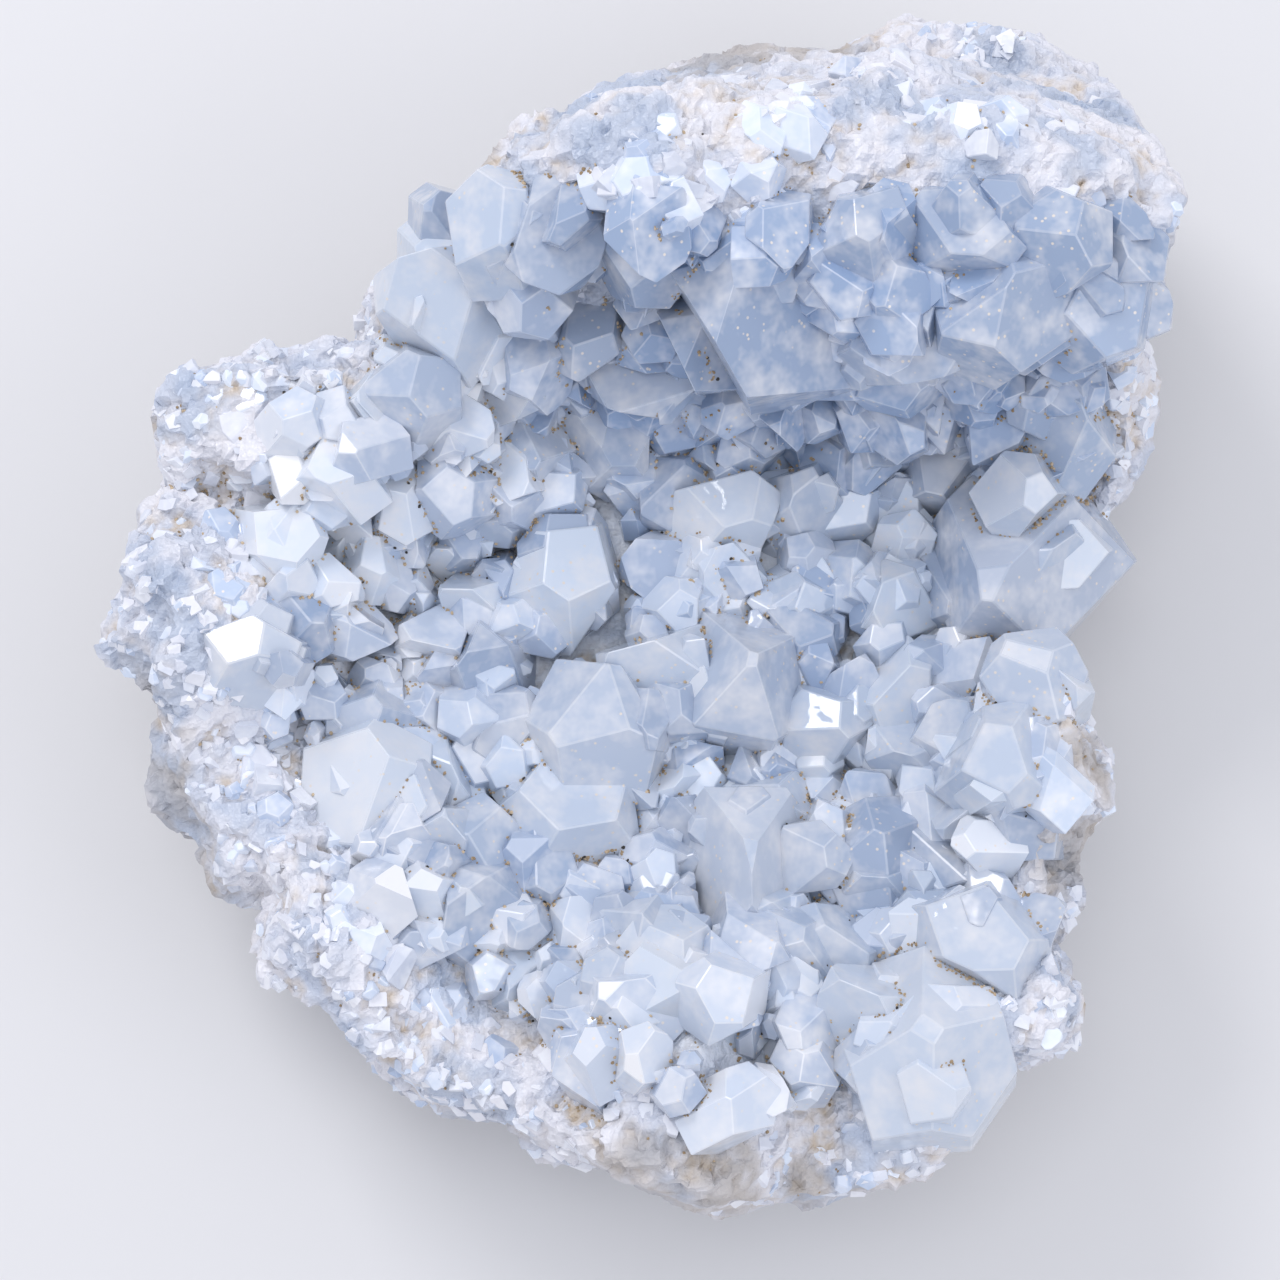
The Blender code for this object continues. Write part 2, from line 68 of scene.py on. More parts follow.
# Swellings and dips of the top: x, y, rise, half length, half width, turn in degrees, steepness
SWELLINGS = {
    "lobe": (24.5, 37.5, 31.0, 34.0, 16.0, -4.0, 2.0),
    "lobe_shoulder": (-10.0, 38.0, 15.0, 17.0, 9.0, 28.0, 1.3),
    "left_block": (-34.0, 18.0, 10.5, 17.0, 8.5, -8.0, 1.8),
    "left_lump": (-43.0, 0.5, 10.0, 12.5, 12.0, 0.0, 1.6),
    "lower_left_rim": (-32.0, -30.0, 6.0, 17.0, 8.0, -50.0, 1.2),
    "front_ridge": (4.0, -45.0, 11.0, 15.0, 10.5, 70.0, 1.3),
    "right_front": (31.0, -44.0, 8.0, 14.0, 9.0, 25.0, 1.4),
    "right_rim": (41.5, -16.0, 9.0, 15.0, 7.0, 80.0, 1.5),
    "recess": (28.0, 16.0, -4.5, 19.0, 6.0, -8.0, 1.2),
    "right_notch": (44.0, 3.0, -7.0, 8.0, 9.0, 0.0, 1.2),
    "left_furrow": (-41.0, 10.5, -6.0, 16.0, 2.6, -6.0, 1.0),
}

# The crust's edge from above, as (degrees, share of the rim)
CRUST_EDGE = (
    (0, 0.9), (30, 0.82), (50, 0.58), (75, 0.55), (100, 0.6), (122, 0.86), (145, 0.8),
    (165, 0.72), (185, 0.72), (205, 0.78), (225, 0.8), (250, 0.84), (275, 0.82), (300, 0.88), (330, 0.9),
)

# Celestine's cell edges, which fix the angles between its faces
CELL_A, CELL_B, CELL_C = 8.36, 5.35, 6.87

# The way a broken crystal's bright cleavage faces lie
CLEAVED_NORMAL = Vector((-0.12, 0.16, 0.98)).normalized()

# Crystals of the bowl: x and y of the tip, width, height over the wall,
# lean from upright and its heading, turn about their own length, and how much of the tip is cleaved off
BOWL_CRYSTALS = (
    (11.4, -4.7, 15.5, 14.0, 12, 60, 20, 0.12),
    (-0.3, -3.7, 12.0, 10.0, 24, 140, 50, 0),
    (-7.0, -13.2, 14.5, 11.0, 17, 200, 10, 0.2),
    (-9.8, 0.6, 12.5, 9.0, 20, 250, 75, 0),
    (-10.8, 12.8, 14.0, 9.5, 24, 300, 30, 0),
    (-3.5, 15.1, 10.0, 8.0, 32, 280, 80, 0.1),
    (8.2, 8.5, 11.0, 9.5, 12, 270, 15, 0.25),
    (-0.3, 10.8, 8.0, 7.0, 40, 220, 45, 0),
    (7.9, 14.3, 8.0, 6.5, 32, 260, 60, 0),
    (14.7, 9.1, 9.0, 8.0, 24, 240, 100, 0),
    (16.5, 4.0, 7.5, 5.5, 32, 90, 33, 0),
    (23.4, 1.3, 8.0, 7.5, 20, 180, 70, 0),
    (34.2, 1.8, 18.0, 14.0, 23, 225, 40, 0.25),
    (28.7, 12.6, 11.0, 11.0, 30, 250, 5, 0.3),
    (44.0, 16.5, 14.5, 14.0, 22, 330, 55, 0),
    (21.5, 16.5, 16.5, 10.0, 34, 265, 20, 0),
    (-15.5, 22.5, 12.0, 11.5, 23, 260, 35, 0.3),
    (-15.8, 30.0, 12.5, 8.0, 32, 300, 10, 0),
    (-22.8, 32.5, 11.5, 10.0, 28, 130, 60, 0),
    (-15.5, 36.5, 9.0, 7.0, 32, 120, 15, 0),
    (43.5, 7.5, 10.5, 11.0, 22, 10, 25, 0),
    (38.0, -7.0, 10.0, 9.0, 17, 120, 40, 0.2),
    (38.0, -15.2, 10.5, 7.5, 20, 30, 75, 0),
    (34.8, -21.0, 12.0, 8.0, 17, 200, 20, 0),
    (32.2, -27.8, 12.5, 7.0, 20, 300, 55, 0),
    (24.2, -24.4, 12.0, 9.5, 12, 90, 65, 0),
    (10.2, -26.7, 15.5, 11.0, 10, 270, 0, 0.1),
    (19.2, -34.5, 12.0, 9.0, 23, 30, 120, 0),
    (11.2, -36.2, 9.5, 4.5, 40, 210, 40, 0),
    (16.3, -41.2, 9.0, 5.0, 24, 150, 80, 0),
    (0.0, -31.2, 11.5, 11.0, 20, 100, 10, 0),
    (-6.0, -22.7, 14.5, 8.5, 17, 320, 50, 0),
    (-17.6, -25.4, 12.5, 9.0, 12, 150, 25, 0),
    (-11.8, -28.7, 10.5, 7.0, 24, 270, 60, 0),
    (-20.1, -33.2, 10.5, 6.5, 32, 220, 35, 0),
    (-27.5, -16.4, 13.0, 10.0, 20, 80, 45, 0),
    (-18.5, -16.7, 10.5, 7.5, 26, 20, 5, 0),
    (-14.6, -9.9, 8.0, 7.0, 17, 100, 85, 0.3),
    (-19.5, -6.0, 11.0, 7.5, 23, 200, 30, 0),
    (-26.5, -7.5, 10.0, 7.0, 24, 60, 70, 0),
    (-17.8, 2.0, 9.0, 7.0, 17, 160, 15, 0),
    (-40.0, -7.2, 10.0, 6.0, 12, 240, 50, 0.3),
    (-31.5, -1.0, 10.0, 6.5, 29, 340, 20, 0),
    (27.0, -15.4, 10.0, 7.5, 17, 220, 35, 0),
    (31.2, -19.5, 9.5, 4.5, 32, 130, 80, 0),
    (33.5, -12.2, 9.0, 6.5, 20, 40, 60, 0),
    (20.0, -14.4, 10.0, 7.0, 29, 300, 15, 0),
    (24.0, -7.0, 9.5, 6.5, 17, 180, 45, 0),
    (18.9, -1.0, 7.5, 6.0, 35, 10, 70, 0),
    (4.5, -12.0, 10.0, 6.0, 20, 330, 25, 0),
    (3.0, -18.5, 11.0, 6.5, 24, 120, 60, 0),
    (14.2, -18.5, 12.0, 7.0, 17, 70, 40, 0),
    (-3.0, 3.5, 8.0, 5.5, 32, 350, 10, 0),
    (27.0, -42.5, 17.5, 9.5, 12, 110, 35, 0.15),
    (36.5, -34.5, 12.0, 6.0, 24, 350, 70, 0),
    (28.0, -33.0, 8.0, 6.0, 20, 250, 20, 0),
    (17.0, -47.0, 10.0, 4.5, 17, 280, 50, 0),
    (-12.5, -38.0, 12.5, 6.5, 26, 240, 15, 0),
    (6.5, -39.5, 14.5, 7.0, 12, 20, 65, 0),
    (-3.5, -42.0, 11.0, 6.5, 20, 260, 40, 0.2),
    (-21.5, 10.0, 11.0, 7.0, 23, 310, 75, 0),
    (-22.5, 17.0, 10.5, 6.5, 29, 280, 30, 0),
    (-30.0, 6.5, 10.0, 6.0, 20, 270, 55, 0),
    (-26.0, -25.0, 10.5, 6.5, 32, 190, 10, 0),
    (-7.5, 21.5, 10.0, 7.0, 42, 260, 45, 0),
    (5.5, 20.5, 11.5, 7.0, 36, 290, 5, 0),
    (31.0, 18.5, 10.0, 7.5, 42, 240, 65, 0),
    (36.0, 15.0, 9.5, 8.0, 35, 300, 30, 0),
)

# Crystals that stand square off the lobe's inner side: x and y of the root, width, height,
# lean and its heading, turn and cleaved share
LOBE_CRYSTALS = (
    (12.5, 27.5, 21.0, 13.0, 22, 80, 40, 0),
    (1.5, 26.5, 11.0, 10.0, 10, 120, 15, 0.25),
    (-5.5, 28.0, 10.0, 8.0, 12, 240, 60, 0),
    (25.5, 25.5, 13.0, 10.0, 14, 60, 10, 0),
    (34.5, 27.0, 14.0, 10.0, 12, 80, 35, 0),
    (44.0, 27.5, 12.0, 8.0, 12, 60, 80, 0),
    (21.5, 31.0, 11.0, 6.5, 8, 90, 75, 0),
    (30.0, 31.5, 11.0, 6.5, 15, 200, 25, 0.2),
    (7.5, 32.0, 10.5, 6.5, 12, 330, 50, 0),
    (39.5, 31.5, 10.0, 6.5, 10, 60, 5, 0),
    (0.0, 32.5, 10.0, 7.0, 15, 150, 20, 0),
    (-8.0, 34.0, 10.0, 8.0, 10, 270, 70, 0),
    (47.5, 31.0, 8.0, 5.0, 16, 340, 45, 0),
    (40.5, 22.0, 9.0, 6.0, 20, 260, 50, 0),
    (12.0, 21.5, 9.0, 6.0, 14, 60, 35, 0),
)

# How white and frosted each crystal of the bowl is, then each of the lobe, in the orders above
BOWL_FROST = (
    0.75, 0.5, 0.7, 0.35, 0.55, 0.6, 0.75, 0.4, 0.4, 0.65, 0.1, 0.2, 0.6, 0.9, 0.15, 0.15, 0.7,
    0.4, 0.4, 0.1, 0.2, 0.7, 0.3, 0.6, 0.4, 0.4, 0.65, 0.45, 0.1, 0.1, 0.8, 0.45, 0.4, 0.2,
    0.3, 0.75, 0.4, 0.7, 0.4, 0.45, 0.4, 0.9, 0.3, 0.35, 0.3, 0.3, 0.35, 0.3, 0.2, 0.2, 0.45,
    0.4, 0.3, 0.7, 0.8, 0.4, 0.5, 0.3, 0.8, 0.85, 0.4, 0.5, 0.6, 0.45, 0.3, 0.2, 0.25, 0.25,
)
LOBE_FROST = (0.3, 0.5, 0.6, 0.3, 0.2, 0.15, 0.4, 0.25, 0.45, 0.15, 0.4, 0.35, 0.1, 0.2, 0.35)

# Seeds of a crystal's own shape and of the growths beside it, to which its number is added
BOWL_SEEDS = (100, 2000)
LOBE_SEEDS = (500, 3000)
# How deep a large crystal is rooted, as a share of its width
BOWL_ROOT = 0.35
LOBE_ROOT = 0.4

# A crystal's block and faces, as shares of its width or half width
BLOCK_WIDTH = 1.6
PRISM_FACES = (0.86, 1.08)
SIDE_FACES = (0.75, 1.15)
# How high its roof and end faces lie, as shares of its length
ROOF_HEIGHT = 0.97
ROOF_UNEVEN = (-0.13, 0.13)
END_FACES = (0.86, 1.3)
# First index of the roof's faces, picked for each crystal: the higher, the flatter the roof
ROOF_STEEPNESS = (1, 2, 2)
# How near a cut's plane a corner counts as on it
CUT_SLACK = 1e-4

# Growths beside a large crystal, as shares of its width or length, and their turn in degrees
SIDE_GROWTHS = 3
GROWTH_WIDTH = (0.32, 0.6)
GROWTH_LENGTH = (0.62, 0.9)
GROWTH_DOWN = (0.1, 0.38)
GROWTH_OUT = (0.26, 0.46)
GROWTH_SPLAY = (-0.04, 0.12)
GROWTH_TURN = (-4, 4)
GROWTH_FROST = 0.9

# Worn edges: how much is taken off each kind of crystal or chip
EDGE_WEAR = 0.14
GROWTH_WEAR = EDGE_WEAR * 0.7
SMALL_WEAR = 0.09
CHIP_WEAR = 0.1
# Chips wider than this have worn edges
WORN_CHIP = 2.0
# The mark of a worn face until it is bundled, and the frost and roughness that it gets; the frost whitens
# the worn edges, partly as wear and partly as a painted highlight
WORN = 1
WORN_FROST_AND_PAINTED_HIGHLIGHT = 0.45
WORN_FACET_AND_PAINTED_HIGHLIGHT = 0.8

# Painted shade: where the blue gets deeper under the lobe, in its shadow, how fast, and how deep
RECESS_FRONT = 8.0
RECESS_LEFT = -14.0
PAINTED_SHADE_PER_MM = 0.07
DEEPEST_PAINTED_SHADE = 0.12

# Whiter crystals towards the crust's edge: where they are, from which share of the crust, over how much
FROSTED_LEFT = -8.0
FROSTED_FRONT = -20.0
FROST_START = 0.6
FROST_FADE = 0.4
EDGE_FROST = 0.6

# Where the tan rind shows from above: x, y and reach
RIND_STRIPS = (
    (0, -55.5, 4.0), (7, -57, 4.0), (16, -58, 2.5), (-51, -10, 4), (-49, -18, 5), (-46, -25, 4),
    (42, -16, 4), (43, -25, 5), (9, 58, 6), (17, 60, 5),
)
# How ragged its edge is, as (waves per millimetre, amount), how far it reaches and over how much it fades
RIND_RAGGED = ((0.35, 0.9), (0.9, 0.5))
RIND_REACH = 1.25
RIND_FADE = 0.7
RIND_FROM = 0.9

# The broken rock: squares of its skin, blocks as (size, rise), and sugar as (waves per millimetre, rise)
SKIN_STEP = 0.66
LARGE_BLOCKS = (5.0, 1.2)
SMALL_BLOCKS = ((2.4, 0.6), (1.5, 0.75))
SUGAR = (1.1, 0.2)
# How much smoother it is under the rim and beneath the crust
UNDER_SMOOTHER = 0.55
LINED_ROUGHNESS = 0.35
# The crust's edge on the rock, and the old outer side, each as where it starts and over how much it fades
LINED_END, LINED_FADE = 0.9, 0.15
UNDER_TILT, UNDER_FADE = 0.25, 0.4
OUTER_START, OUTER_FADE = 0.8, 0.1
# The height up to which the flat underneath stays smooth, and over how much the roughness sets in
FOOT_HEIGHT, FOOT_FADE = 0.3, 2.5
# Patches of rind and dirt: waves per millimetre, and how much of each there is
PATCH_WAVES = 0.07
RIND_MEAN, RIND_PATCHY = 0.75, 1.2
DIRT_MEAN, DIRT_LOW, DIRT_PATCHY = 0.25, 0.9, 0.6
# Bare massive patches of the lobe's back, and how much rind keeps chips off
MASSIVE_BACK = 36.0
MASSIVE_WAVES = 0.09
MASSIVE_LEVEL = -0.12
CHIPLESS_RIND = 0.3

# Crystals between the large ones: how far they rise, then for each size how many, their seed, width,
# lean, length as a share of the width, and least frost
BETWEEN_RISE = 2.6
CRUST_REACH = 1.04
CRUST_TILT = -0.2
SMALL_CRYSTALS = 560
SMALL_SEED = 11
SMALL_WIDTH = (3.4, 8.0)
SMALL_LEAN = (5, 50)
SMALL_LENGTH = (1.0, 1.5)
SMALL_SHOWN = (0.3, 0.55)
SMALL_FROST = 0.05
TINY_CRYSTALS = 220
TINY_SEED = 12
TINY_WIDTH = (1.2, 2.6)
TINY_LEAN = (0, 50)
TINY_LENGTH = (0.9, 1.6)
TINY_SHOWN = 0.5
TINY_FROST = 0.1
MOST_FROST = 0.8

# Frosted crystals of the rim, smaller from a share of the rim outwards
RIM_CRYSTALS = 520
RIM_SEED = 15
RIM_WIDTH = (2.2, 5.5)
OUTER_WIDTH = (1.5, 2.4)
OUTER_FROM = 0.9
RIM_LEAN = (0, 45)
RIM_LENGTH = (0.8, 1.3)
RIM_SHOWN = (0.05, 0.3)
RIM_FROST = (0.35, 1.0)
RIM_INNER = 0.98
RIM_TILT = 0.1

# Chips of broken rock, smaller from a share of the rim outwards, and patchy on steep ground
CHIPS = 1100
CHIP_SEED = 21
CHIP_SIZES = (1.2, 1.6, 2.1, 2.6, 3.2, 4.0)
OUTER_CHIP = 1.8
OUTER_CHIP_FROM = 0.88
CHIP_DEPTH = (0.6, 1.0)
CHIP_THICKNESS = (0.45, 0.8)
CHIP_CUTS = 5
CHIP_CUT = (0.28, 0.42)
CHIP_TIP_OVER = (0, 0.45)
CHIP_SUNK = (0.14, 0.3)
CHIP_FROST = (0.3, 1.0)
CHIP_TILT = 0.05
CHIP_PATCHY = 0.5
CHIP_WAVES = 0.1

# Grains of dirt: tries, their size and shape, and how patchy they lie
GRAIN_TRIES = 60000
GRAIN_SEED = 31
GRAIN_REACH = 0.97
GRAIN_SHARE = 0.55
GRAIN_PATCHY = 2.2
GRAIN_WAVES = 0.06
GRAIN_SIZE = (0.08, 0.24)
GRAIN_WIDTH = (0.6, 1.0)
GRAIN_THICKNESS = (0.5, 0.8)
GRAIN_RISE = 0.2
# A seam is lower by a depth than the surface on this many of its four sides
SEAM_SIDES = ((0.9, 0.0), (-0.9, 0.0), (0.0, 0.9), (0.0, -0.9))
SEAM_DEPTH = 0.35
HIGHER_SIDES = 3
ABOVE_ALL = 200.0

# Seeds of the facets' numbers and of the noise
TONE_SEED = 7
NOISE_SEED = 4
# About a full turn, in radians
FULL_TURN = 6.3
# How far to each side a slope is measured
SLOPE_REACH = 1.5
UP = Vector((0.0, 0.0, 1.0))
DOWN = Vector((0.0, 0.0, -1.0))

# Celestite's look: refraction, and what is left of light on its way through, per metre
CELESTINE_IOR = 1.62
CLEAR_BLUE = (0.50, 0.72, 0.97)
ABSORPTION = 45.0
LARGE_CLEARNESS = 0.22
SMALL_CLEARNESS = 0.12

# The deepest blue: of darker crystals, and of the painted shade under the lobe
DEEP_BLUE_AND_PAINTED_SHADE = (0.32, 0.44, 0.66)
PALE_BLUE = (0.73, 0.84, 1.0)
VEIL_WHITE = (0.91, 0.93, 0.98)
# White of frosted faces and worn edges, partly a painted highlight
FROST_AND_PAINTED_HIGHLIGHT_WHITE = (0.94, 0.96, 1.0)
DUST = (0.90, 0.84, 0.77)

CHIP_GREY = (0.63, 0.68, 0.79)
CHIP_WHITE = (0.81, 0.82, 0.88)
CHIP_VEIL = (0.86, 0.89, 0.94)

ROCK_GREY = (0.53, 0.59, 0.71)
ROCK_WHITE = (0.76, 0.77, 0.83)
LINED_BLUE = (0.62, 0.71, 0.85)
LINED_WHITE = (0.86, 0.89, 0.95)
WINDOW_BLUE = (0.42, 0.50, 0.64)
SEAM_TAN = (0.60, 0.50, 0.38)
RIND_DARK = (0.28, 0.25, 0.22)
RIND_PALE = (0.58, 0.54, 0.50)

DIRT_BROWN = (0.30, 0.21, 0.12)
DIRT_TAN = (0.62, 0.50, 0.35)
DIRT_BLACK = (0.05, 0.045, 0.04)

# The studio, in metres: half the floor, and lamps with their place, size, watts and colour
FLOOR_HALF = 3.0
FLOOR_GREY = (0.72, 0.73, 0.75)
ROOM_LIGHT = (0.86, 0.86, 0.92)
ROOM_STRENGTH = 0.92
LAMPS = {
    "key": ((-0.26, 0.34, 0.50), 0.20, 1.2, (1.0, 0.97, 0.96)),
    "fill": ((0.42, -0.20, 0.45), 0.30, 0.5, (0.96, 0.97, 1.0)),
    "top": ((-0.05, 0.04, 0.80), 0.25, 0.6, (1.0, 1.0, 1.0)),
}
LAMP_AIM = Vector((0.0, 0.0, 0.03))

# The camera: what it looks at in the bowl's coordinates, degrees above the floor, metres away, and lens
CAMERA_AIM = Vector((-0.3, -3.6, 33.0))
CAMERA_RISE = 80.0
CAMERA_AWAY = 0.36
LENS = 101.0
SENSOR_WIDTH = 36.0


def limited(value):
    """A number kept between 0 and 1."""
    return min(1.0, max(0.0, value))


def between(points, degrees):
    """The value at an angle on a closed curve given at a few angles, eased from one to the next."""
    wrapped = degrees % 360.0
    for here, there in zip(points, points[1:] + ((points[0][0] + 360, points[0][1]),)):
        if here[0] <= wrapped < there[0]:
            share = (wrapped - here[0]) / (there[0] - here[0])
            eased = share * share * (3.0 - 2.0 * share)
            return here[1] + (there[1] - here[1]) * eased
    return points[0][1]


def compass(degrees, radius):
    """A point in plan, at an angle and a distance from the middle of the bowl."""
    turn = math.radians(degrees)
    return BOWL_CENTRE + Vector((math.cos(turn), math.sin(turn), 0.0)) * radius


def wall_height(x, y):
    """How high the wall's top lies at a point in plan, without its roughness."""
    out = Vector((x, y, 0.0)) - BOWL_CENTRE
    rim = between(OUTLINE, math.degrees(math.atan2(out.y, out.x))) * RIM_SHARE
    height = FLOOR_HEIGHT + RIM_RISE * (out.length / rim) ** 3
    for mid_x, mid_y, rise, half_length, half_width, turn, steepness in SWELLINGS.values():
        angle = math.radians(turn)
        along = (x - mid_x) * math.cos(angle) + (y - mid_y) * math.sin(angle)
        across = (y - mid_y) * math.cos(angle) - (x - mid_x) * math.sin(angle)
        off = (along / half_length) ** 2 + (across / half_width) ** 2
        height += rise * math.exp(-off**steepness)
    return height


def wall_slope(x, y):
    """The direction that points square out of the wall's top."""
    east = wall_height(x + SLOPE_REACH, y) - wall_height(x - SLOPE_REACH, y)
    north = wall_height(x, y + SLOPE_REACH) - wall_height(x, y - SLOPE_REACH)
    return Vector((-east, -north, 2.0 * SLOPE_REACH)).normalized()


def leaning(axis, lean, heading):
    """A direction tipped over by an angle towards a compass heading."""
    tip = Vector((math.cos(math.radians(heading)), math.sin(math.radians(heading)), 0.0))
    return (axis * math.cos(math.radians(lean)) + tip * math.sin(math.radians(lean))).normalized()


def rim_share(point):
    """How far out a point lies: 0 in the middle of the bowl, 1 on the rim."""
    out = Vector((point.x, point.y, 0.0)) - BOWL_CENTRE
    return out.length / (between(OUTLINE, math.degrees(math.atan2(out.y, out.x))) * RIM_SHARE)


def crust_share(point):
    """The same, but 1 on the edge of the crust."""
    out = Vector((point.x, point.y, 0.0)) - BOWL_CENTRE
    return rim_share(point) / between(CRUST_EDGE, math.degrees(math.atan2(out.y, out.x)))


def painted_recess_shade(x, y):
    """Painted shade: how light the blue is made, deep under the lobe and on its inner side, where the lobe's
    shadow falls, pale in the open bowl.
    """
    if y < RECESS_FRONT or x <= RECESS_LEFT:
        return 1.0
    return max(DEEPEST_PAINTED_SHADE, 1.0 - (y - RECESS_FRONT) * PAINTED_SHADE_PER_MM)


def edge_frost(place):
    """How much whiter the crystals are towards the edge of the crust, at the left and front of the bowl."""
    if place.x >= FROSTED_LEFT and place.y >= FROSTED_FRONT:
        return 0.0
    return limited((crust_share(place) - FROST_START) / FROST_FADE) * EDGE_FROST


def rind_share(place):
    """How much of the old rind is left at a point: strips of it along the rim, seen from above."""
    if rim_share(place) <= RIND_FROM:
        return 0.0
    nearest = min((place.xy - Vector((x, y))).length / reach for x, y, reach in RIND_STRIPS)
    ragged = sum(noise.noise(place * waves) * amount for waves, amount in RIND_RAGGED)
    return limited((RIND_REACH + ragged - nearest) / RIND_FADE)


def smooth(place):
    """Whether the rock is bare of chips: on the rind and on the massive patches of the lobe's back."""
    patch = noise.noise(place * MASSIVE_WAVES + Vector((5.0, 2.0, 3.0)))
    massive = place.y > MASSIVE_BACK and patch > MASSIVE_LEVEL
    return massive or rind_share(place) > CHIPLESS_RIND


def face_normal(h, k, l):
    """The direction of a celestine face from its indices, with the crystal's length along Z."""
    return Vector((k / CELL_B, l / CELL_C, h / CELL_A)).normalized()


def cut(mesh, point, normal):
    """Takes off what lies past a plane and closes the cut."""
    geometry = mesh.verts[:] + mesh.edges[:] + mesh.faces[:]
    done = bmesh.ops.bisect_plane(
        mesh, geom=geometry, dist=CUT_SLACK, plane_co=point, plane_no=normal, clear_outer=True
    )
    edges = [e for e in done["geom_cut"] if isinstance(e, bmesh.types.BMEdge)]
    if len(edges) > 2:
        bmesh.ops.contextual_create(mesh, geom=edges)
    bmesh.ops.recalc_face_normals(mesh, faces=mesh.faces)


def crystal_mesh(width, length, draw):
    """One crystal standing on the origin with its tip at +Z: a prism of steep faces under a roof."""
    mesh = bmesh.new()
    bmesh.ops.create_cube(mesh, size=1.0)
    bmesh.ops.scale(mesh, vec=(width * BLOCK_WIDTH, width * BLOCK_WIDTH, length), verts=mesh.verts)
    bmesh.ops.translate(mesh, vec=(0.0, 0.0, length / 2.0), verts=mesh.verts)
    half = width / 2.0
    for side_b in (-1, 1):
        for side_c in (-1, 1):
            normal = face_normal(0, side_b, side_c)
            cut(mesh, normal * half * draw.uniform(*PRISM_FACES), normal)
    for side_c in (-1, 1):
        normal = face_normal(0, 0, side_c)
        cut(mesh, normal * half * draw.uniform(*SIDE_FACES), normal)
    steepness = draw.choice(ROOF_STEEPNESS)
    wider = draw.uniform(*ROOF_UNEVEN)
    for side_b in (-1, 1):
        top = Vector((0.0, 0.0, length * (ROOF_HEIGHT + side_b * wider)))
        cut(mesh, top, face_normal(steepness, side_b, 0))
    for side_c in (-1, 1):
        cut(mesh, Vector((0.0, 0.0, length * draw.uniform(*END_FACES))), face_normal(1, 0, side_c))
    return mesh


def placed(mesh, tip, axis, length, turn, cleaved=0.0):
    """Stands a crystal so that its tip is at a point, and breaks off the cleaved share of its tip."""
    stand = axis.to_track_quat("Z", "Y").to_matrix() @ Matrix.Rotation(math.radians(turn), 3, "Z")
    bmesh.ops.rotate(mesh, matrix=stand, verts=mesh.verts)
    bmesh.ops.translate(mesh, vec=tip - axis * length, verts=mesh.verts)
    if cleaved:
        cut(mesh, tip - CLEAVED_NORMAL * length * cleaved * 0.5, CLEAVED_NORMAL)
    return mesh


def worn(mesh, wear):
    """Takes the sharpness off all edges, and marks the faces that this leaves."""
    done = bmesh.ops.bevel(
        mesh, geom=mesh.edges[:], offset=wear, segments=1, profile=0.5, affect="EDGES",
        clamp_overlap=True, material=-1,
    )
    for face in done["faces"]:
        face.material_index = WORN
    return mesh


def chip_mesh(size, draw):
    """A chip of broken rock: a block cut by planes at odd angles."""
    mesh = bmesh.new()
    bmesh.ops.create_cube(mesh, size=size)
    proportions = (1.0, draw.uniform(*CHIP_DEPTH), draw.uniform(*CHIP_THICKNESS))
    bmesh.ops.scale(mesh, vec=proportions, verts=mesh.verts)
    for _ in range(CHIP_CUTS):
        normal = Vector((draw.gauss(0, 1), draw.gauss(0, 1), draw.gauss(0, 1))).normalized()
        cut(mesh, normal * size * draw.uniform(*CHIP_CUT), normal)
    return mesh


def grain_mesh(spot, height, draw):
    """A rounded grain of dirt lying at a point in plan and a height."""
    size = draw.uniform(*GRAIN_SIZE)
    mesh = bmesh.new()
    bmesh.ops.create_icosphere(mesh, subdivisions=1, radius=size)
    proportions = (1.0, draw.uniform(*GRAIN_WIDTH), draw.uniform(*GRAIN_THICKNESS))
    bmesh.ops.scale(mesh, vec=proportions, verts=mesh.verts)
    spin = Matrix.Rotation(draw.uniform(0, FULL_TURN), 3, "Z")
    bmesh.ops.rotate(mesh, matrix=spin, verts=mesh.verts)
    bmesh.ops.translate(mesh, vec=(spot.x, spot.y, height + size * GRAIN_RISE), verts=mesh.verts)
    return mesh


class Bundle:
    """Many small shapes gathered in one mesh, with a colour layer that the materials read."""

    def __init__(self):
        self.mesh = bmesh.new()
        self.tone = self.mesh.loops.layers.float_color.new("tone")
        self.draw = random.Random(TONE_SEED)

    def add(self, shape, frost, shade=1.0):
        """Adds a shape and uses it up. Its tone holds frost, how light its blue is (a random tone times the
        painted shade), and a facet's number.
        """
        start = len(self.mesh.faces)
        carrier = bpy.data.meshes.new("carrier")
        shape.to_mesh(carrier)
        shape.free()
        self.mesh.from_mesh(carrier)
        bpy.data.meshes.remove(carrier)
        self.mesh.faces.ensure_lookup_table()
        # A random lightness of the blue, darkened by the painted shade under the lobe
        lightness_and_painted_shade = self.draw.random() * shade
        for face in self.mesh.faces[start:]:
            edge = face.material_index == WORN
            face.material_index = 0
            # Worn edges get more frost and a fixed number: whitened as wear and partly as a painted
            # highlight
            facet = WORN_FACET_AND_PAINTED_HIGHLIGHT if edge else self.draw.random()
            for loop in face.loops:
                loop[self.tone] = (max(frost, WORN_FROST_AND_PAINTED_HIGHLIGHT) if edge else frost, lightness_and_painted_shade, facet, 1.0)


def growths(tip, axis, width, length, turn, draw):
    """Smaller individuals that grew beside a crystal, nearly parallel to it."""
    side = axis.orthogonal().normalized()
    for _ in range(SIDE_GROWTHS):
        out = Matrix.Rotation(draw.uniform(0.0, 2.0 * math.pi), 3, axis) @ side
        size = width * draw.uniform(*GROWTH_WIDTH)
        reach = length * draw.uniform(*GROWTH_LENGTH)
        top = tip - axis * length * draw.uniform(*GROWTH_DOWN) + out * width * draw.uniform(*GROWTH_OUT)
        tilt = (axis + out * draw.uniform(*GROWTH_SPLAY)).normalized()
        yield placed(crystal_mesh(size, reach, draw), top, tilt, reach, turn + draw.uniform(*GROWTH_TURN))


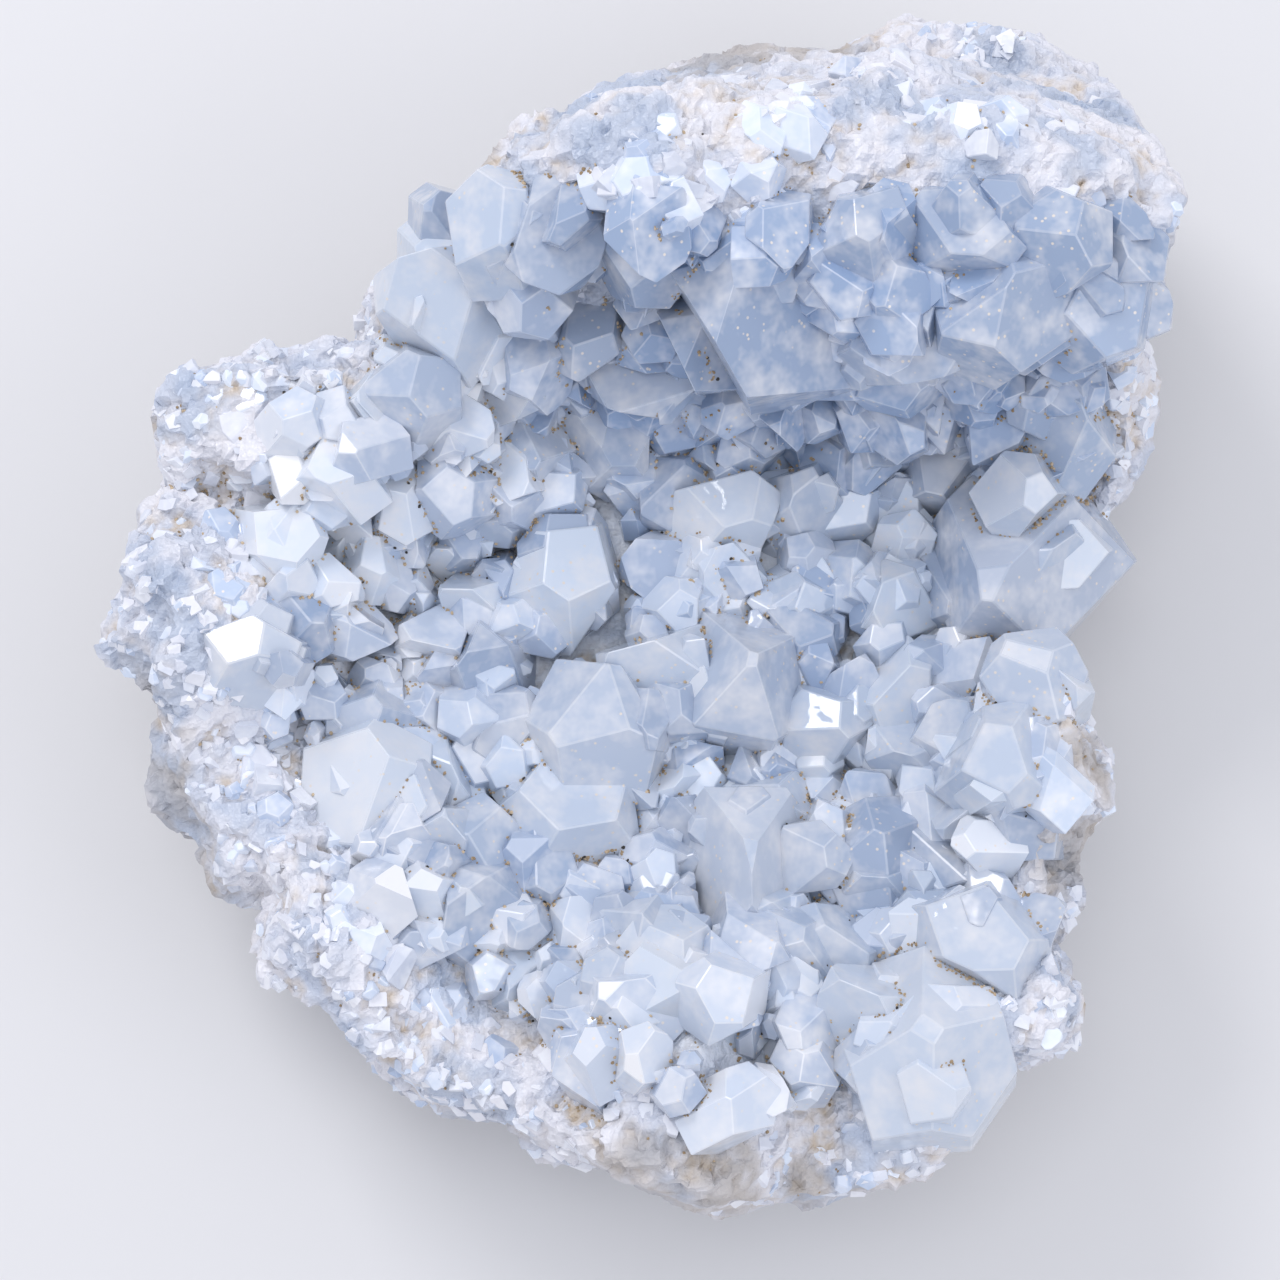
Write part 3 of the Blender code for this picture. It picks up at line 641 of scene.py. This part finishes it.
def stands():
    """Each large crystal's seeds, tip, axis, width, length, turn, cleaved share, frost and painted shade."""
    for number, (x, y, width, height, lean, heading, turn, cleaved) in enumerate(BOWL_CRYSTALS):
        axis = leaning(UP, lean, heading)
        length = height / axis.z + width * BOWL_ROOT
        tip = Vector((x, y, wall_height(x, y) + height))
        seeds = [seed + number for seed in BOWL_SEEDS]
        yield seeds, tip, axis, width, length, turn, cleaved, BOWL_FROST[number], painted_recess_shade(x, y)
    for number, (x, y, width, height, lean, heading, turn, cleaved) in enumerate(LOBE_CRYSTALS):
        axis = leaning(wall_slope(x, y), lean, heading)
        length = height + width * LOBE_ROOT
        tip = Vector((x, y, wall_height(x, y))) + axis * height
        seeds = [seed + number for seed in LOBE_SEEDS]
        yield seeds, tip, axis, width, length, turn, cleaved, LOBE_FROST[number], painted_recess_shade(x, y)


def large_crystals():
    """The crystals of the solids, with their edges worn and with side growths."""
    bundle = Bundle()
    for seeds, tip, axis, width, length, turn, cleaved, frost, shade in stands():
        mesh = crystal_mesh(width, length, random.Random(seeds[0]))
        bundle.add(worn(placed(mesh, tip, axis, length, turn, cleaved), EDGE_WEAR), frost, shade)
        for growth in growths(tip, axis, width, length, turn, random.Random(seeds[1])):
            bundle.add(worn(growth, GROWTH_WEAR), frost * GROWTH_FROST, shade)
    return bundle


def even_skin(node):
    """The wall's surface as even small squares, in the bowl's coordinates."""
    mesh = bmesh.new()
    mesh.from_mesh(node.data)
    bmesh.ops.remove_doubles(mesh, verts=mesh.verts, dist=1e-6)
    bmesh.ops.scale(mesh, vec=(1.0 / MM,) * 3, verts=mesh.verts)
    bmesh.ops.translate(mesh, vec=-SET_DOWN, verts=mesh.verts)
    data = bpy.data.meshes.new("even_skin")
    mesh.to_mesh(data)
    mesh.free()
    carrier = bpy.data.objects.new("even_skin", data)
    bpy.context.scene.collection.objects.link(carrier)
    remesh = carrier.modifiers.new("even", "REMESH")
    remesh.mode = "VOXEL"
    remesh.voxel_size = SKIN_STEP
    skin = bmesh.new()
    skin.from_object(carrier, bpy.context.evaluated_depsgraph_get())
    bpy.data.objects.remove(carrier)
    bpy.data.meshes.remove(data)
    skin.normal_update()
    return skin


def blocks(point, size, rise):
    """How far a point stands out, the same all over each block of broken rock."""
    nearest = noise.voronoi(point / size)[1][0]
    return noise.noise(nearest * 3.1 + Vector((4.0, 7.0, 1.0))) * rise


def broken_skin(skin):
    """Breaks the even skin into blocks, steps and sugar, and notes where it is rind, lined or dirty."""
    tone = skin.verts.layers.float_color.new("tone")
    moves = []
    for vertex in skin.verts:
        place, normal = vertex.co.copy(), vertex.normal.copy()
        inside = 1.0 - limited((crust_share(place) - LINED_END) / LINED_FADE) if normal.z > 0.0 else 0.0
        outer = limited((rim_share(place) - OUTER_START) / OUTER_FADE)
        under = limited((UNDER_TILT - normal.z) / UNDER_FADE) * outer
        steps = blocks(place, *LARGE_BLOCKS) + sum(blocks(place, *kind) for kind in SMALL_BLOCKS)
        sugar_waves, sugar_rise = SUGAR
        push = steps * (1.0 - UNDER_SMOOTHER * under) + noise.noise(place * sugar_waves) * sugar_rise
        push *= LINED_ROUGHNESS if inside > 0.5 else 1.0
        moves.append((vertex, place + normal * push * limited((place.z - FOOT_HEIGHT) / FOOT_FADE)))
        patch = noise.noise(place * PATCH_WAVES + Vector((3.0, 1.0, 8.0)))
        rind = max(under * limited(RIND_MEAN + patch * RIND_PATCHY), rind_share(place))
        dirt = limited(DIRT_MEAN - steps * DIRT_LOW + patch * DIRT_PATCHY)
        vertex[tone] = (rind, inside, dirt, 1.0)
    for vertex, place in moves:
        vertex.co = place
        vertex.co.z = max(vertex.co.z, 0.0)
    return skin


def scattered(skin, count, seed, wanted):
    """Faces of the skin picked at random among those that are wanted, with the draw that picked them."""
    draw = random.Random(seed)
    skin.faces.ensure_lookup_table()
    chosen = [f for f in skin.faces if wanted(f.calc_center_median(), f.normal)]
    for _ in range(count):
        face = draw.choice(chosen)
        yield face.calc_center_median(), face.normal.copy(), draw


def buried(tree, point):
    """Whether a point is inside a closed surface."""
    hit, normal, _, _ = tree.find_nearest(point)
    return hit is not None and (point - hit).dot(normal) < 0.0


def stood(width, length, tip, axis, draw):
    """A crystal of its own shape and turn, with its tip at a point."""
    return placed(crystal_mesh(width, length, draw), tip, axis, length, draw.uniform(0, 180))


def small_crystals(skin, large):
    """The crystals between the large ones, down to a few millimetres."""
    tree = BVHTree.FromBMesh(large.mesh)
    bundle = Bundle()

    def in_crust(place, normal):
        return crust_share(place) < CRUST_REACH and normal.z > CRUST_TILT

    # A small crystal's frost: less in the painted shade under the lobe, more towards the crust's edge
    def frost(place, least, draw):
        return draw.uniform(least, MOST_FROST) * painted_recess_shade(place.x, place.y) + edge_frost(place)

    # Each crystal's blue is also darkened by the painted shade under the lobe
    for place, normal, draw in scattered(skin, SMALL_CRYSTALS, SMALL_SEED, in_crust):
        width = draw.uniform(*SMALL_WIDTH)
        axis = leaning(normal, draw.uniform(*SMALL_LEAN), draw.uniform(0, 360))
        length = width * draw.uniform(*SMALL_LENGTH)
        tip = place + normal * BETWEEN_RISE + axis * length * draw.uniform(*SMALL_SHOWN)
        if not buried(tree, tip):
            mesh = worn(stood(width, length, tip, axis, draw), SMALL_WEAR)
            bundle.add(mesh, frost(place, SMALL_FROST, draw), painted_recess_shade(place.x, place.y))
    for place, normal, draw in scattered(skin, TINY_CRYSTALS, TINY_SEED, in_crust):
        width = draw.uniform(*TINY_WIDTH)
        axis = leaning(normal, draw.uniform(*TINY_LEAN), draw.uniform(0, 360))
        length = width * draw.uniform(*TINY_LENGTH)
        tip = place + normal * BETWEEN_RISE + axis * length * TINY_SHOWN
        if not buried(tree, tip):
            mesh = stood(width, length, tip, axis, draw)
            bundle.add(mesh, frost(place, TINY_FROST, draw), painted_recess_shade(place.x, place.y))
    return bundle


def rim_crystals(skin):
    """Frosted blocks half sunk in the white rock of the rim, the left side and the lobe's back."""
    bundle = Bundle()

    def bare(place, normal):
        return crust_share(place) > RIM_INNER and normal.z > RIM_TILT and not smooth(place)

    for place, normal, draw in scattered(skin, RIM_CRYSTALS, RIM_SEED, bare):
        width = draw.uniform(*(RIM_WIDTH if rim_share(place) < OUTER_FROM else OUTER_WIDTH))
        axis = leaning(normal, draw.uniform(*RIM_LEAN), draw.uniform(0, 360))
        length = width * draw.uniform(*RIM_LENGTH)
        tip = place + axis * length * draw.uniform(*RIM_SHOWN)
        bundle.add(worn(stood(width, length, tip, axis, draw), SMALL_WEAR), draw.uniform(*RIM_FROST))
    return bundle


def broken_chips(skin):
    """Angular pieces of broken celestite that stand out of the rim, the left side and the lobe's back."""
    bundle = Bundle()

    def bare(place, normal):
        steepest = CHIP_TILT + CHIP_PATCHY * noise.noise(place * CHIP_WAVES)
        return crust_share(place) > 1.0 and normal.z > steepest and not smooth(place)

    for place, normal, draw in scattered(skin, CHIPS, CHIP_SEED, bare):
        size = draw.choice(CHIP_SIZES)
        if rim_share(place) > OUTER_CHIP_FROM:
            size = min(size, OUTER_CHIP)
        mesh = chip_mesh(size, draw)
        spin = Matrix.Rotation(draw.uniform(0, FULL_TURN), 3, "Z")
        tip_over = Matrix.Rotation(draw.uniform(*CHIP_TIP_OVER), 3, "X")
        stand = normal.to_track_quat("Z", "Y").to_matrix() @ (spin @ tip_over)
        bmesh.ops.rotate(mesh, matrix=stand, verts=mesh.verts)
        bmesh.ops.translate(mesh, vec=place - normal * size * draw.uniform(*CHIP_SUNK), verts=mesh.verts)
        bundle.add(worn(mesh, CHIP_WEAR) if size > WORN_CHIP else mesh, draw.uniform(*CHIP_FROST))
    return bundle


def dirt_grains(meshes):
    """Grains of dirt lying in the seams, where the surface is lower than on most sides of it."""
    trees = [BVHTree.FromBMesh(mesh) for mesh in meshes]
    draw = random.Random(GRAIN_SEED)
    bundle = Bundle()

    def top_at(x, y):
        hits = [tree.ray_cast(Vector((x, y, ABOVE_ALL)), DOWN)[0] for tree in trees]
        return max((hit.z for hit in hits if hit is not None), default=None)

    for _ in range(GRAIN_TRIES):
        angle, reach = draw.uniform(0.0, 360.0), math.sqrt(draw.random())
        spot = compass(angle, between(OUTLINE, angle) * GRAIN_REACH * reach)
        patch = noise.noise(Vector((spot.x, spot.y, 0.0)) * GRAIN_WAVES)
        if draw.random() > GRAIN_SHARE + GRAIN_PATCHY * patch:
            continue
        here = top_at(spot.x, spot.y)
        if here is None:
            continue
        around = [top_at(spot.x + dx, spot.y + dy) for dx, dy in SEAM_SIDES]
        if None in around or sum(z > here + SEAM_DEPTH for z in around) < HIGHER_SIDES:
            continue
        bundle.add(grain_mesh(spot, here, draw), draw.random())
    return bundle


class Finish:
    """A material built node by node."""

    def __init__(self, name):
        self.material = bpy.data.materials.new(name)
        self.material.use_nodes = True
        self.nodes = self.material.node_tree.nodes
        self.links = self.material.node_tree.links
        self.shader = self.nodes["Principled BSDF"]
        self.place = self.nodes.new("ShaderNodeTexCoord").outputs["Object"]
        attribute = self.nodes.new("ShaderNodeAttribute")
        attribute.attribute_name = "tone"
        split = self.nodes.new("ShaderNodeSeparateColor")
        self.links.new(attribute.outputs["Color"], split.inputs["Color"])
        self.tone = split.outputs

    def cloud(self, scale, detail, rough=0.55):
        """Soft noise over the object, with its scale per metre."""
        node = self.nodes.new("ShaderNodeTexNoise")
        node.inputs["Scale"].default_value = scale
        node.inputs["Detail"].default_value = detail
        node.inputs["Roughness"].default_value = rough
        self.links.new(self.place, node.inputs["Vector"])
        return node.outputs["Fac"]

    def cells(self, scale):
        """The distance to the middle of cells over the object, with their scale per metre."""
        node = self.nodes.new("ShaderNodeTexVoronoi")
        node.inputs["Scale"].default_value = scale
        self.links.new(self.place, node.inputs["Vector"])
        return node.outputs["Distance"]

    def ramp(self, value, start, end):
        """A value brought from one range to another, as two pairs of (value, result)."""
        node = self.nodes.new("ShaderNodeMapRange")
        node.inputs["From Min"].default_value = start[0]
        node.inputs["From Max"].default_value = end[0]
        node.inputs["To Min"].default_value = start[1]
        node.inputs["To Max"].default_value = end[1]
        self.links.new(value, node.inputs["Value"])
        return node.outputs["Result"]

    def maths(self, kind, first, second):
        """Two values added or multiplied, each a socket or a number."""
        node = self.nodes.new("ShaderNodeMath")
        node.operation = kind
        for socket, value in zip(node.inputs, (first, second)):
            self.give(socket, value)
        return node.outputs["Value"]

    def blend(self, share, first, second):
        """A colour between two, each a socket or a colour."""
        node = self.nodes.new("ShaderNodeMix")
        node.data_type = "RGBA"
        self.links.new(share, node.inputs[0])
        for socket, colour in ((node.inputs[6], first), (node.inputs[7], second)):
            self.give(socket, (*colour, 1.0) if isinstance(colour, tuple) else colour)
        return node.outputs[2]

    def bumpy(self, height, strength, distance):
        """Raises the surface by a height, with the distance in metres."""
        node = self.nodes.new("ShaderNodeBump")
        node.inputs["Strength"].default_value = strength
        node.inputs["Distance"].default_value = distance
        self.links.new(height, node.inputs["Height"])
        self.links.new(node.outputs["Normal"], self.shader.inputs["Normal"])

    def soak(self, colour, density):
        """Absorbs light on its way through, more of it the thicker the piece."""
        node = self.nodes.new("ShaderNodeVolumeAbsorption")
        node.inputs["Color"].default_value = (*colour, 1.0)
        node.inputs["Density"].default_value = density
        self.links.new(node.outputs["Volume"], self.nodes["Material Output"].inputs["Volume"])

    def give(self, socket, value):
        """Sets a socket to an even value, or links another socket to it."""
        if isinstance(value, (int, float, tuple)):
            socket.default_value = value
        else:
            self.links.new(value, socket)

    def set(self, **values):
        """Sets the shader's own sockets by their names."""
        for name, value in values.items():
            self.give(self.shader.inputs[name.replace("_", " ")], value)


def crystal_finish(name, clearness):
    """Milky blue celestite: glassy faces, veils inside, some faces and worn edges frosted white and partly
    painted highlight, painted shade under the lobe, and dust.
    """
    finish = Finish(name)
    # The blue, deeper for darker crystals and in the painted shade under the lobe
    blue = finish.blend(finish.tone["Green"], DEEP_BLUE_AND_PAINTED_SHADE, PALE_BLUE)
    veils = finish.ramp(finish.cloud(scale=230.0, detail=3.0, rough=0.65), (0.44, 0.0), (0.74, 0.9))
    body = finish.blend(veils, blue, VEIL_WHITE)
    # Faces whitened by their number, and the worn edges: frost, and partly painted highlight
    facet = finish.ramp(finish.tone["Blue"], (0.5, 0.0), (1.0, 0.5))
    frost = finish.maths("MULTIPLY", finish.tone["Red"], finish.maths("ADD", facet, 0.3))
    frosted = finish.blend(frost, body, FROST_AND_PAINTED_HIGHLIGHT_WHITE)
    speck = finish.ramp(finish.cells(scale=1000.0), (0.12, 1.0), (0.19, 0.0))
    dusty = finish.ramp(finish.cloud(scale=140.0, detail=1.0), (0.48, 0.0), (0.58, 1.0))
    colour = finish.blend(finish.maths("MULTIPLY", speck, dusty), frosted, DUST)
    rough = finish.ramp(finish.tone["Blue"], (0.3, 0.04), (1.0, 0.32))
    finish.set(Base_Color=colour, Roughness=rough, IOR=CELESTINE_IOR, Transmission_Weight=clearness)
    finish.bumpy(finish.cloud(scale=520.0, detail=1.0), strength=0.06, distance=0.0008)
    return finish


def large_finish():
    """The same for the large crystals, in which the depth of the blue shows."""
    finish = crystal_finish("large_crystals", LARGE_CLEARNESS)
    finish.soak(CLEAR_BLUE, ABSORPTION)
    return finish


def chip_finish():
    """Broken white celestite with bright cleavage faces."""
    finish = Finish("broken_celestite")
    body = finish.blend(finish.tone["Green"], CHIP_GREY, CHIP_WHITE)
    veils = finish.ramp(finish.cloud(scale=350.0, detail=2.0, rough=0.65), (0.4, 0.0), (0.7, 0.8))
    colour = finish.blend(veils, body, CHIP_VEIL)
    rough = finish.ramp(finish.tone["Blue"], (0.0, 0.2), (1.0, 0.6))
    finish.set(Base_Color=colour, Roughness=rough, IOR=CELESTINE_IOR)
    finish.bumpy(finish.cells(scale=1300.0), strength=0.2, distance=0.0004)
    return finish


def wall_finish():
    """Sugary rock: white where it broke, blue-grey under the crystals, tan in the seams and on the rind."""
    finish = Finish("massive_celestite")
    patches = finish.ramp(finish.cloud(scale=110.0, detail=3.0), (0.36, 0.0), (0.56, 1.0))
    white = finish.blend(patches, ROCK_GREY, ROCK_WHITE)
    lined = finish.blend(finish.cloud(scale=300.0, detail=2.0), LINED_BLUE, LINED_WHITE)
    rock = finish.blend(finish.tone["Green"], white, lined)
    streaks = finish.ramp(finish.cloud(scale=420.0, detail=2.0), (0.4, 0.0), (0.65, 1.0))
    rock = finish.blend(finish.maths("MULTIPLY", finish.tone["Blue"], streaks), rock, SEAM_TAN)
    windows = finish.ramp(finish.cloud(scale=95.0, detail=2.0), (0.55, 0.0), (0.63, 0.75))
    rock = finish.blend(windows, rock, WINDOW_BLUE)
    shell = finish.blend(finish.cloud(scale=160.0, detail=3.0, rough=0.7), RIND_DARK, RIND_PALE)
    whole = finish.ramp(finish.cloud(scale=90.0, detail=3.0), (0.25, 1.0), (0.75, 0.35))
    colour = finish.blend(finish.maths("MULTIPLY", finish.tone["Red"], whole), rock, shell)
    rough = finish.ramp(finish.tone["Red"], (0.0, 0.38), (1.0, 0.85))
    finish.set(Base_Color=colour, Roughness=rough, IOR=CELESTINE_IOR)
    grit = finish.maths("ADD", finish.cells(scale=900.0), finish.cloud(scale=2200.0, detail=1.0))
    finish.bumpy(grit, strength=0.4, distance=0.0006)
    return finish


def grain_finish():
    """Tan dirt, with a black grain here and there."""
    finish = Finish("dirt")
    tan = finish.blend(finish.tone["Red"], DIRT_BROWN, DIRT_TAN)
    black = finish.ramp(finish.tone["Red"], (0.95, 0.0), (0.96, 1.0))
    finish.set(Base_Color=finish.blend(black, tan, DIRT_BLACK), Roughness=0.9)
    return finish


def finished(mesh, name, finish):
    """The object of a mesh, brought to metres in the frame."""
    bmesh.ops.translate(mesh, vec=SET_DOWN, verts=mesh.verts)
    bmesh.ops.scale(mesh, vec=(MM, MM, MM), verts=mesh.verts)
    data = bpy.data.meshes.new(name)
    mesh.to_mesh(data)
    mesh.free()
    made = bpy.data.objects.new(name, data)
    bpy.context.scene.collection.objects.link(made)
    data.materials.append(finish.material)
    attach(made, "root")
    return made


def dress():
    """Makes every piece. Those with the most shape come first, since the others lie on them."""
    noise.seed_set(NOISE_SEED)
    skin = broken_skin(even_skin(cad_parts["geode_wall"]))
    crystals = large_crystals()
    small = small_crystals(skin, crystals)
    frosted = rim_crystals(skin)
    chips = broken_chips(skin)
    grains = dirt_grains([skin, crystals.mesh, small.mesh, frosted.mesh, chips.mesh])
    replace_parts(finished(skin, "massive_celestite", wall_finish()), "geode_wall")
    large_look = large_finish()
    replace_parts(finished(crystals.mesh, "large_crystals", large_look), "crystal_crust")
    finished(small.mesh, "small_crystals", crystal_finish("small_crystals", SMALL_CLEARNESS))
    finished(frosted.mesh, "rim_crystals", crystal_finish("rim_crystals", 0.0))
    finished(chips.mesh, "broken_chips", chip_finish())
    finished(grains.mesh, "dirt_grains", grain_finish())


def floor():
    """A plain pale floor."""
    mesh = bmesh.new()
    bmesh.ops.create_grid(mesh, x_segments=1, y_segments=1, size=FLOOR_HALF)
    data = bpy.data.meshes.new("floor")
    mesh.to_mesh(data)
    mesh.free()
    finish = Finish("floor")
    finish.set(Base_Color=(*FLOOR_GREY, 1.0), Roughness=0.9)
    data.materials.append(finish.material)
    made = bpy.data.objects.new("floor", data)
    bpy.context.scene.collection.objects.link(made)


def lamp(name, place, size, watts, colour):
    """A soft square lamp that faces the piece."""
    data = bpy.data.lights.new(name, "AREA")
    data.size = size
    data.energy = watts
    data.color = colour
    made = bpy.data.objects.new(name, data)
    made.location = place
    made.rotation_euler = (LAMP_AIM - Vector(place)).to_track_quat("-Z", "Y").to_euler()
    bpy.context.scene.collection.objects.link(made)


def studio():
    """Even light from all round, three soft lamps, and short light paths."""
    world = bpy.data.worlds.new("studio")
    bpy.context.scene.world = world
    world.use_nodes = True
    background = world.node_tree.nodes["Background"]
    background.inputs["Color"].default_value = (*ROOM_LIGHT, 1.0)
    background.inputs["Strength"].default_value = ROOM_STRENGTH
    for name, (place, size, watts, colour) in LAMPS.items():
        lamp(name, place, size, watts, colour)
    bpy.context.scene.view_settings.view_transform = "Standard"
    paths = bpy.context.scene.cycles
    paths.max_bounces = 3
    paths.diffuse_bounces = 2
    paths.glossy_bounces = 2
    paths.transmission_bounces = 3
    paths.caustics_reflective = False


def camera():
    """Looks down on the piece from the photo's side, nearly upright."""
    data = bpy.data.cameras.new("camera")
    data.lens = LENS
    data.sensor_width = SENSOR_WIDTH
    made = bpy.data.objects.new("camera", data)
    target = (CAMERA_AIM + SET_DOWN) * MM
    rise = math.radians(CAMERA_RISE)
    away = Vector((0.0, -math.cos(rise), math.sin(rise)))
    made.location = target + away * CAMERA_AWAY
    made.rotation_euler = (-away).to_track_quat("-Z", "Y").to_euler()
    bpy.context.scene.collection.objects.link(made)
    bpy.context.scene.camera = made


dress()
floor()
studio()
camera()
